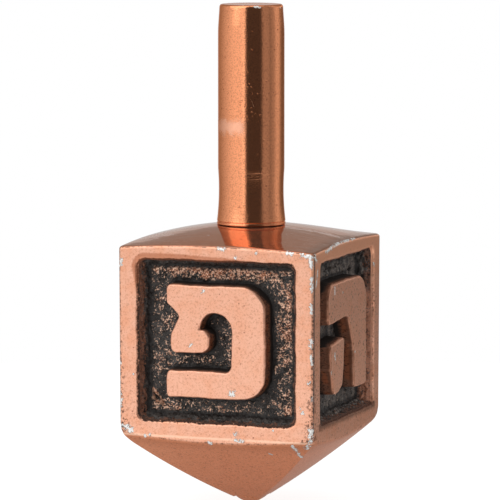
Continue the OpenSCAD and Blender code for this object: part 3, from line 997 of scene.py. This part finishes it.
        # The crown was wiped in pale streaks that also carry a painted sheen, and its lacquer is wavy
        wipedSheen = f.ramp(f.strokes(place, crownLines) + ragged * 5.0, 1.3, 0.7) * crown
        metallic = 1 - sunk * 0.6 - crown * 0.12 - wipedSheen * 0.4
        waves = f.noise(place, 0.5, 2.0, 0.5, (0.5, 1.0, 1.0)) * crown * f.ramp(outX, 2.0, 6.0)
        satin = upright + under * 0.9 + crown * 0.06
    lacy = f.noise(place, 2.1, 4.0, 0.8) - f.strokes(place, letterChips if isLetter else bodyChips) * 0.11
    chips = f.ramp(lacy, 0.385, 0.405)
    if not isLetter:
        scuffed = f.ramp(coarse - toUpright * 0.5, 0.47, 0.5) * f.ramp(f.noise(place, 0.35, 1.0), 0.52, 0.56)
        chips = f.high(chips, scuffed * upright)
        colour = f.coated(colour, (wipedSheen * 0.3, "plating"))
        rough = rough + wipedSheen * 0.2
    colour = f.coated(colour, (f.ramp(lacy, 0.345, 0.38) * 0.7, "patinaAndShade"), (chips, "plating"))
    relief = (grain * 0.6 + grit * 0.4) * satin - (specks + pits) * 1.4 - chips
    if not isLetter:
        relief = relief + waves * 2.2 - wipedSheen * 0.25
    return f.metal(colour, rough, metallic * (1 - chips * 0.4), relief, c["relief"], tones["edgeTint"])


blackened = {
    "grain": (1.7, 5.0, 0.75),  # scale, detail and roughness of the noises
    "lace": (3.4, 2.0, 0.6),
    "fine": (6.0, 2.0, 0.6),
    "patch": (0.7, 2.0, 0.5),
    "wallNoise": (1.1, 4.0, 0.75, (1.8, 1.8, 0.8)),
    "nicks": (1.1, 2.0, 0.5, (0.7, 0.7, 1.4)),
    "stripes": (1.0, 3.0, 0.6, (1.0, 1.3, 0.16)),
    "copperFrom": (0.61, 0.635),  # height of the roughness at which copper shows
    "roughness": 0.5,
    "relief": 0.12,
}


def castGround(name):
    f, b = Finish(name), blackened
    place, (x, _, _), (facingX, _, _) = metalPlaces(f)
    lift, crease, wall, rubbedAndLit = (f.attribute(key) for key in ("lift", "crease", "wall", "rubbedAndLit"))
    grain, lace, fine, patch = (f.noise(place, *b[key]) for key in ("grain", "lace", "fine", "patch"))
    # Copper shows on the tops of the grains, and more of it where the ground is rubbed and painted with glints
    raised = grain * 0.4 + lace * 0.6 + lift * 0.3 + (patch - 0.5) * 0.25 + rubbedAndLit * 0.17
    specks = f.ramp(raised, *b["copperFrom"]) * f.ramp(crease, 0.2, 0.7) * (1 - wall)
    # The walls are brown below the rim and black at the foot from patina and painted shade, with dark nicks
    wallNoise = f.noise(place, *b["wallNoise"])
    nicks = f.around(f.noise(place, *b["nicks"]), 0.5, 0.02, 0.008)
    wallCopper = wall * f.ramp(crease + (wallNoise - 0.5) * 5.0 + rubbedAndLit * 0.7, 1.1, 1.4) * (1 - nicks * 0.85)
    streaked = f.colour(f.ramp(lace * 0.5 + wallNoise * 0.5, 0.46, 0.54), tones["patinaAndShade"], tones["brown"])
    # The far wall of the right panel has upright ridges with a dull painted sheen
    ridged = f.ramp(facingX, 0.3, 0.6) * f.ramp(x, 11.0, 12.0)
    stripes = f.ramp(f.noise(place, *b["stripes"]), 0.42, 0.56) * ridged
    sooty = f.high(f.ramp(fine * 0.5 + patch * 0.5, 0.38, 0.62), stripes * 1.2)
    colour = f.coated(tones["black"], (sooty, "soot"), (stripes * f.ramp(lace, 0.35, 0.6) * 0.8, "ridgeSheen"))
    colour = f.colour(wallCopper, colour, f.coated(streaked, (rubbedAndLit, "copperWall")))
    # Painted glints: the copper specks are paler in places, and most where the ground is rubbed
    bright = f.high(f.ramp(lace, 0.46, 0.62), f.ramp(rubbedAndLit, 1.2, 1.8) * 0.8)
    colour = f.colour(specks, colour, f.coated(tones["copperDeep"], (bright, "paleGlint")))
    # Painted shade with patina: darker towards the foot of the walls and the letters
    colour = f.coated(colour, (f.ramp(crease + (grain - 0.5) * 0.5, 0.75, 0.2) * 0.85, "crease"))
    rough = b["roughness"] - f.high(specks, wallCopper * rubbedAndLit) * 0.1
    relief = fine * 0.4 + lace + grain * 0.6 + specks * 0.3
    return f.metal(colour, rough, specks * 0.7 + wallCopper * 0.2, relief, b["relief"])


stemChips = [
    (2.2, -4.3, 74.5, 3, -3.9, 74.35, 0.24), (-0.9, -3.8, 74.6, 0.3, -4.3, 74.55, 0.12),
    (4.85, -0.6, 74.2, 4.95, 0.2, 74, 0.14), (-4.2, 2.1, 74.45, 0.2), (1.5, 4.6, 74.4, 0.4, 4.8, 74.4, 0.16),
]
stemScratches = [
    (1.5, -4.75, 61.2, 2.1, -4.5, 59.6, 0.05), (2.6, -4.25, 73.2, 3.2, -3.85, 73.5, 0.05),
    (2.7, -4.2, 72.9, 3.1, -3.9, 72.8, 0.05), (2.7, -4.2, 72.1, 3.2, -3.85, 72.2, 0.05),
    (2.9, -4.05, 58.8, 3.3, -3.75, 60.6, 0.04),
]
turning = {
    "lines": (1.0, 4.0, 0.75, (0.05, 0.05, 5.0)),  # scale, detail, roughness and stretch of the noises
    "grain": (4.8, 3.0, 0.8),
    "wander": (1.1, 3.0, 0.7, (0.7, 0.7, 1.6)),
    "coarse": (1.1, 3.0, 0.6),
    "torn": (2.6, 3.0, 0.75),
    "hazeHeight": 56.6,
    "wornHeight": 60.5,
    "footStart": (46.0, 43.0),
    "roughness": 0.13,
    "relief": 0.012,
}


def turnedStem(name):
    f, t = Finish(name), turning
    place, (x, y, z), _ = metalPlaces(f)
    lines, grain, wander, coarse = (f.noise(place, *t[key]) for key in ("lines", "grain", "wander", "coarse"))
    haze = f.ramp(f.size(z - t["hazeHeight"] + (coarse - 0.5) * 2.0), 1.5, 0.3)
    haze = haze * f.ramp(x, 1.2, 0.0) * f.ramp(y, 1.5, -0.5)
    worn = f.around(z, t["wornHeight"], 4.5, 1.5) * f.ramp(coarse, 0.45, 0.6)
    atFoot = f.ramp(z, *t["footStart"])
    specks = f.spots(place, 1.0, 0.14, 0.08) * f.ramp(coarse + worn * 0.1, 0.52, 0.58)
    tinySpecks = f.spots(place, 1.9, 0.25, 0.15, (grain - 0.5) * 0.5) * worn
    specks = f.high(specks, tinySpecks * 0.85)
    ragged = (f.noise(place, *t["torn"]) - 0.5) * 2.2
    scratches = f.ramp(f.strokes(place, stemScratches) + ragged * 0.5, 1.2, 0.6)
    chips = f.ramp(f.strokes(place, stemChips) + ragged, 1.15, 1.0)
    colour = f.coated(
        tones["stem"], (f.ramp(grain, 0.46, 0.62) * 0.46, "copperDeep"),
        (f.ramp(lines, 0.55, 0.75) * 0.25, "copperDeep"), (specks * 0.8, "rust"),
        (haze * 0.6, "stemHaze"), (scratches * 0.3, "stemHaze"), (chips, "plating"),
    )
    rough = t["roughness"] + (grain - 0.5) * 0.16 + haze * 0.25 + scratches * 0.15 + atFoot * 0.02 + chips * 0.2
    relief = lines * (0.35 + atFoot * 1.2) + grain * 0.8 + wander * (0.3 + f.ramp(x, 1.4, 2.2) * 1.3)
    relief = relief - specks * 1.5 + scratches * 0.4
    return f.metal(colour, rough, 1 - chips * 0.7, relief, t["relief"], tones["stemEdge"])


studio = {
    "azimuth": 20.137,
    "elevation": 6.18,
    "distance": 600.0,
    "aim": (0.0, 0.0, 38.0),
    "aimLeft": 0.19,
    "lens": 290.35,
    "sensor": 36,
    "clip": (0.05, 20),
    "roomLight": 0.75,
    # What the metal mirrors, as levels of white around it
    "whiteWall": 1.0,
    "rightWall": 0.36,
    "dim": 0.4,
    "opening": 0.06,
    "lowBehind": 0.2,
    "bandBehind": (0.63, 0.35),
    "leftBehind": 0.66,
    "streak": 0.35,
    "overhead": 0.9,
    "tableRadius": 160,
    "tableDrop": 0.03,
    "tableColour": 0.3,
    "tableSeen": 0.86,  # how bright the camera sees it, and how bright the metal does
    "tableMirrored": 0.36,
    "tableNear": 0.7,
    "tableFar": 0.2,
    # The key lamp: bearing and rise in degrees, distance and size in metres, watts, and the height it aims at
    "keyLamp": (-36, 38, 0.9, 1.1, 2.5),
    "lampAim": 0.03,
}


def towards(bearing, rise):
    # The direction from the object at a bearing from the front, and a rise, in degrees
    turn, lift = math.radians(bearing), math.radians(rise)
    return Vector((math.sin(turn) * math.cos(lift), -math.cos(turn) * math.cos(lift), math.sin(lift)))


def buildCamera():
    s = studio
    back, turn = towards(s["azimuth"], s["elevation"]), math.radians(s["azimuth"])
    right = Vector((math.cos(turn), math.sin(turn), 0))
    aim = Vector(s["aim"]) - right * s["aimLeft"]
    bpy.ops.object.camera_add(location=(aim + back * s["distance"]) * mm)
    camera = bpy.context.object
    camera.rotation_euler = back.to_track_quat("Z", "Y").to_euler()
    camera.data.lens, camera.data.sensor_width = s["lens"], s["sensor"]
    camera.data.clip_start, camera.data.clip_end = s["clip"]
    bpy.context.scene.camera = camera


def buildRoom():
    s, world = studio, bpy.data.worlds.new("studio")
    bpy.context.scene.world = world
    world.use_nodes = True
    f = Finish("studio", world.node_tree)
    parts = f.node("SeparateXYZ", {}, {0: f.node("TexCoord").output("Generated")})
    x, y, z = (parts.output(axis) for axis in "XYZ")
    bearing = f.sum("ARCTAN2", x, 0 - y) * (180 / math.pi)
    # What the metal mirrors: a white wall front left, the dark opening where the camera stands, a dim room behind
    behind = f.ramp(f.size(bearing), 120, 150) * f.around(z, 0.14, 0.1, 0.05)
    farRight = s["rightWall"] - f.around(bearing, 90, 5, 2) * 0.13 + f.around(bearing, 124, 20, 6) * 0.3
    mirrored = s["dim"] + f.ramp(bearing, -130, -25) * (s["whiteWall"] - s["dim"])
    for level, where in (
        (farRight, f.ramp(bearing, 52, 62)),
        (s["lowBehind"], f.ramp(bearing, 135, 155) * f.ramp(z, 0.04, -0.02)),
        (s["bandBehind"][0] + f.ramp(bearing, -20, 20) * s["bandBehind"][1], behind),
        (s["leftBehind"], f.ramp(bearing, -125, -145) * f.ramp(f.size(z), 0.16, 0.12)),
    ):
        mirrored = mirrored + (level - mirrored) * where
    mirrored = mirrored + f.around(bearing, -6, 4.5, 2) * s["streak"]
    opening = f.around(bearing, 29, 31, 29) * f.ramp(f.size(z), 0.85, 0.7)
    for level, where in ((s["opening"], opening), (s["overhead"], f.ramp(z, 0.86, 0.96))):
        mirrored = mirrored + (level - mirrored) * where
    paths = f.node("LightPath")
    isCamera = paths.output("Is Camera Ray")
    isGlossy = f.high(paths.output("Is Glossy Ray"), paths.output("Is Transmission Ray"))
    strength = isCamera + (1 - isCamera) * (isGlossy * mirrored + (1 - isGlossy) * s["roomLight"])
    background = f.node("Background", {}, {"Color": (1, 1, 1, 1), "Strength": strength})
    out = world.node_tree.nodes.new("ShaderNodeOutputWorld")
    world.node_tree.links.new(background.socket, out.inputs["Surface"])

    bpy.ops.mesh.primitive_circle_add(
        vertices=96, radius=s["tableRadius"] * mm, fill_type="NGON", location=(0, 0, -s["tableDrop"] * mm)
    )
    floor = bpy.context.object
    floor.name = "studioFloor"
    f = Finish("studioFloor")
    diffuse = f.node("BsdfDiffuse", {}, {"Color": (s["tableColour"],) * 3 + (1,)})
    paths = f.node("LightPath")
    # Painted light on the table, seen only in the metal: brighter in front and further out, below the wide soft
    # light, and darker further back
    spot = f.node("TexCoord").output("Object")
    away = f.node("VectorMath", {"operation": "LENGTH"}, {0: spot}).output("Value") * (1 / mm)
    depthwise = f.node("SeparateXYZ", {}, {0: spot}).output("Y") * (1 / mm)
    lit = f.ramp(away, 16, 45) * f.ramp(depthwise, 15, -15) * s["tableNear"]
    lit = lit - f.ramp(away, 40, 80) * f.ramp(depthwise, 0, 40) * s["tableFar"]
    seen = paths.output("Is Camera Ray") * s["tableSeen"] + paths.output("Is Glossy Ray") * (s["tableMirrored"] + lit)
    glow = f.node("Emission", {}, {"Color": (1, 1, 1, 1), "Strength": seen})
    floor.data.materials.append(f.finished(f.node("AddShader", {}, {0: diffuse, 1: glow})))


def addLamp(name, bearing, rise, distance, size, power):
    way = towards(bearing, rise)
    bpy.ops.object.light_add(type="AREA", location=way * distance + Vector((0, 0, studio["lampAim"])))
    lamp = bpy.context.object
    lamp.name = name
    lamp.rotation_euler = way.to_track_quat("Z", "Y").to_euler()
    lamp.data.shape, lamp.data.size, lamp.data.energy = "DISK", size, power


# The whole object: every piece with its finish, then the studio
pieces = [(buildCasting(), castCopper("copperCasting", False))]
print("casting made", len(pieces[0][0].data.polygons))
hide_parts("body")
letterCopper, groundCopper = castCopper("copperLetters", True), castGround("blackenedGround")
for side in range(4):
    pieces.append((buildLetter(side), letterCopper))
    pieces.append((buildGround(side), groundCopper))
    print("side", side, "made", len(pieces[-1][0].data.polygons))
pieces.append((buildStem(), turnedStem("copperStem")))
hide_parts("stem")
print("stem made", len(pieces[-1][0].data.polygons))
for piece, material in pieces:
    piece.data.materials.clear()
    piece.data.materials.append(material)
    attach(piece, "root")

bpy.context.scene.view_settings.view_transform = "Standard"
buildCamera()
buildRoom()
addLamp("keyLamp", *studio["keyLamp"])
print("studio made")
